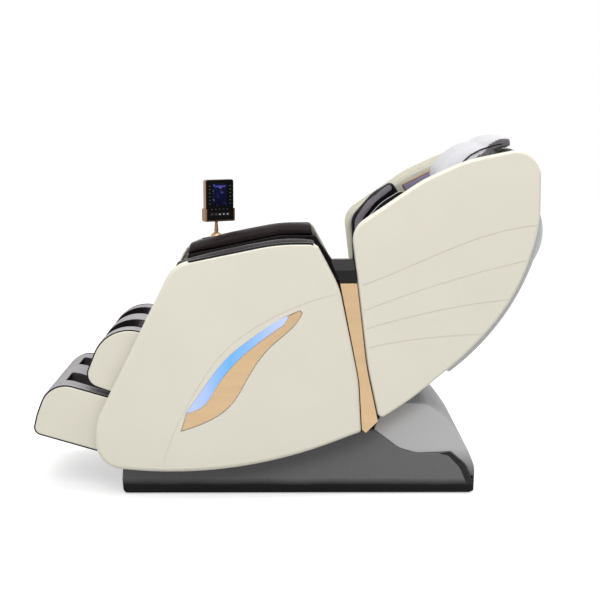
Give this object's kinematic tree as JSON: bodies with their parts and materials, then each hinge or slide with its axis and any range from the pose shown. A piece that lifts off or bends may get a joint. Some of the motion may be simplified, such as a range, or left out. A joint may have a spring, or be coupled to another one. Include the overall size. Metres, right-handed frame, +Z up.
{
  "type": "massage chair",
  "caption": "Reclining massage chair with long arm panels, winged back, two-part leg rest with calf and foot wells, rocking base and a hand control on the arm.",
  "frame": {"origin": "on the floor under the chair, on its middle plane, 537 mm behind the front of the base", "axes": "+Z up, the chair faces -X, the sitter's left side is towards -Y"},
  "size_m": [1.6261, 0.76, 1.1343],
  "materials": {
    "cream_shell": "satin",
    "gold_trim": "satin metallic",
    "light_lens": "glowing",
    "black_leather": "soft satin",
    "plum_leather": "soft satin",
    "grey_leather": "soft satin",
    "pillow_fabric": "soft",
    "base_grey": "gloss",
    "cover_grey": "gloss",
    "silver_shell": "satin",
    "black_gloss": "gloss",
    "dark_plastic": "matt",
    "frame_steel": "powder coat",
    "bright_steel": "polished",
    "rubber": "matt",
    "screen_glass": "gloss",
    "cream_leather": "soft satin"
  },
  "bodies": {
    "base": {"base_shroud": "base_grey", "base_rear_cover": "cover_grey", "base_frame": "frame_steel", "feet": "rubber", "power_inlet": "dark_plastic", "air_pump": "dark_plastic"},
    "switch": {"power_switch": "black_gloss"},
    "wheel_left": {"transport_wheel_left": "rubber"},
    "wheel_right": {"transport_wheel_right": "rubber"},
    "carriage": {"glide_carriage": "frame_steel", "tilt_actuator_body": "dark_plastic"},
    "tilt_rod": {"tilt_actuator_rod": "bright_steel"},
    "seat": {"seat_frame": "frame_steel", "seat_cushion": "black_leather", "arm_panel_left": "cream_shell", "arm_panel_right": "cream_shell", "light_lenses": "light_lens", "swoosh_trims": "gold_trim", "armrest_pad_left": "black_leather", "armrest_pad_right": "black_leather", "arm_liner_left": "black_leather", "arm_liner_right": "black_leather", "arm_air_cells": "plum_leather", "pillar_trim_left": "gold_trim", "pillar_trim_right": "gold_trim", "corner_block": "black_gloss", "recline_actuator_body": "dark_plastic", "leg_actuator_body": "dark_plastic", "control_box": "dark_plastic", "remote_base": "gold_trim"},
    "recline_rod": {"recline_actuator_rod": "bright_steel"},
    "leg_rod": {"leg_actuator_rod": "bright_steel"},
    "back": {"back_shell_left": "cream_shell", "back_shell_right": "cream_shell", "back_rear_cover": "silver_shell", "back_cushion": "black_leather", "back_frame": "frame_steel", "massage_rails": "bright_steel", "wing_liners": "black_leather", "shoulder_pod_left": "black_gloss", "shoulder_pod_right": "black_gloss", "speakers": "gold_trim"},
    "pillow": {"pillow": "pillow_fabric"},
    "massage_carriage": {"massage_carriage": "dark_plastic"},
    "massage_arms": {"massage_arms": "frame_steel"},
    "upper_rollers": {"upper_massage_rollers": "rubber"},
    "lower_rollers": {"lower_massage_rollers": "rubber"},
    "calf": {"calf_shell": "dark_plastic", "calf_pad": "plum_leather", "calf_panel_left": "cream_shell", "calf_panel_right": "cream_shell"},
    "foot": {"foot_shell": "dark_plastic", "foot_pad": "plum_leather", "foot_panel_left": "cream_shell", "foot_panel_right": "cream_shell"},
    "sole_rollers": {"sole_rollers": "dark_plastic"},
    "remote_cradle": {"remote_cradle": "gold_trim"},
    "handset": {"remote_housing": "gold_trim", "remote_screen": "screen_glass"},
    "keys": {"remote_keys": "dark_plastic"}
  },
  "joints": [
    {"name": "seat_glide", "type": "slide", "parent": "base", "child": "carriage", "axis": [-1, 0, 0], "range_m": [0, 0.12]},
    {"name": "switch_rock", "type": "hinge", "parent": "base", "child": "switch", "pos_m": [0.571, 0.023, 0.059], "axis": [0, 1, 0], "range_deg": [0, 10]},
    {"name": "wheel_left_spin", "type": "hinge", "parent": "base", "child": "wheel_left", "pos_m": [0.54, -0.236, 0.032], "axis": [0, 1, 0], "continuous": true},
    {"name": "wheel_right_spin", "type": "hinge", "parent": "base", "child": "wheel_right", "pos_m": [0.54, 0.236, 0.032], "axis": [0, 1, 0], "continuous": true},
    {"name": "seat_tilt", "type": "hinge", "parent": "carriage", "child": "seat", "pos_m": [0.25, 0, 0.23], "axis": [0, 1, 0], "range_deg": [0, 10]},
    {"name": "tilt_rod_slide", "type": "slide", "parent": "carriage", "child": "tilt_rod", "axis": [0, 0, 1], "range_m": [0, 0.075]},
    {"name": "back_recline", "type": "hinge", "parent": "seat", "child": "back", "pos_m": [0.288, 0, 0.281], "axis": [0, 1, 0], "range_deg": [0, 25]},
    {"name": "recline_rod_slide", "type": "slide", "parent": "seat", "child": "recline_rod", "axis": [-0.88, 0, 0.475], "range_m": [0, 0.036]},
    {"name": "leg_lift", "type": "hinge", "parent": "seat", "child": "calf", "pos_m": [-0.385, 0, 0.48], "axis": [0, 1, 0], "range_deg": [0, 70]},
    {"name": "leg_rod_slide", "type": "slide", "parent": "seat", "child": "leg_rod", "axis": [-0.8388, 0, 0.5444], "range_m": [0, 0.199]},
    {"name": "foot_extend", "type": "slide", "parent": "calf", "child": "foot", "axis": [-0.342, 0, -0.9397], "range_m": [0, 0.1]},
    {"name": "sole_rollers_spin", "type": "hinge", "parent": "foot", "child": "sole_rollers", "pos_m": [-0.7012, 0, 0.19602], "axis": [0, 1, 0], "continuous": true},
    {"name": "massage_travel", "type": "slide", "parent": "back", "child": "massage_carriage", "axis": [0.515, 0, 0.8572], "range_m": [0, 0.4]},
    {"name": "massage_swing", "type": "hinge", "parent": "massage_carriage", "child": "massage_arms", "pos_m": [0.41877, 0, 0.49502], "axis": [0, 1, 0], "range_deg": [-8, 8]},
    {"name": "upper_roller_spin", "type": "hinge", "parent": "massage_arms", "child": "upper_rollers", "pos_m": [0.43168, 0, 0.5631], "axis": [0, 1, 0], "continuous": true},
    {"name": "lower_roller_spin", "type": "hinge", "parent": "massage_arms", "child": "lower_rollers", "pos_m": [0.36472, 0, 0.45167], "axis": [0, 1, 0], "continuous": true},
    {"name": "pillow_flip", "type": "hinge", "parent": "back", "child": "pillow", "pos_m": [0.74363, 0, 1.10947], "axis": [0, 1, 0], "range_deg": [0, 120]},
    {"name": "remote_swivel", "type": "hinge", "parent": "seat", "child": "remote_cradle", "pos_m": [-0.262, 0.335, 0.8], "axis": [0, 0, 1], "range_deg": [-60, 60]},
    {"name": "handset_lift", "type": "slide", "parent": "remote_cradle", "child": "handset", "axis": [0, 0, 1], "range_m": [0, 0.05]},
    {"name": "keys_press", "type": "slide", "parent": "handset", "child": "keys", "axis": [-0.4695, 0.8829, 0], "range_m": [0, 0.001], "stiffness_N_per_m": 600, "springref_m": -0.0005}
  ],
  "couplings": [
    {"joint": "seat_glide", "follows": "back_recline", "m_per_rad": 0.2749},
    {"joint": "tilt_rod_slide", "follows": "seat_tilt", "m_per_rad": 0.4206},
    {"joint": "recline_rod_slide", "follows": "back_recline", "m_per_rad": 0.0797},
    {"joint": "leg_rod_slide", "follows": "leg_lift", "m_per_rad": 0.1616}
  ]
}
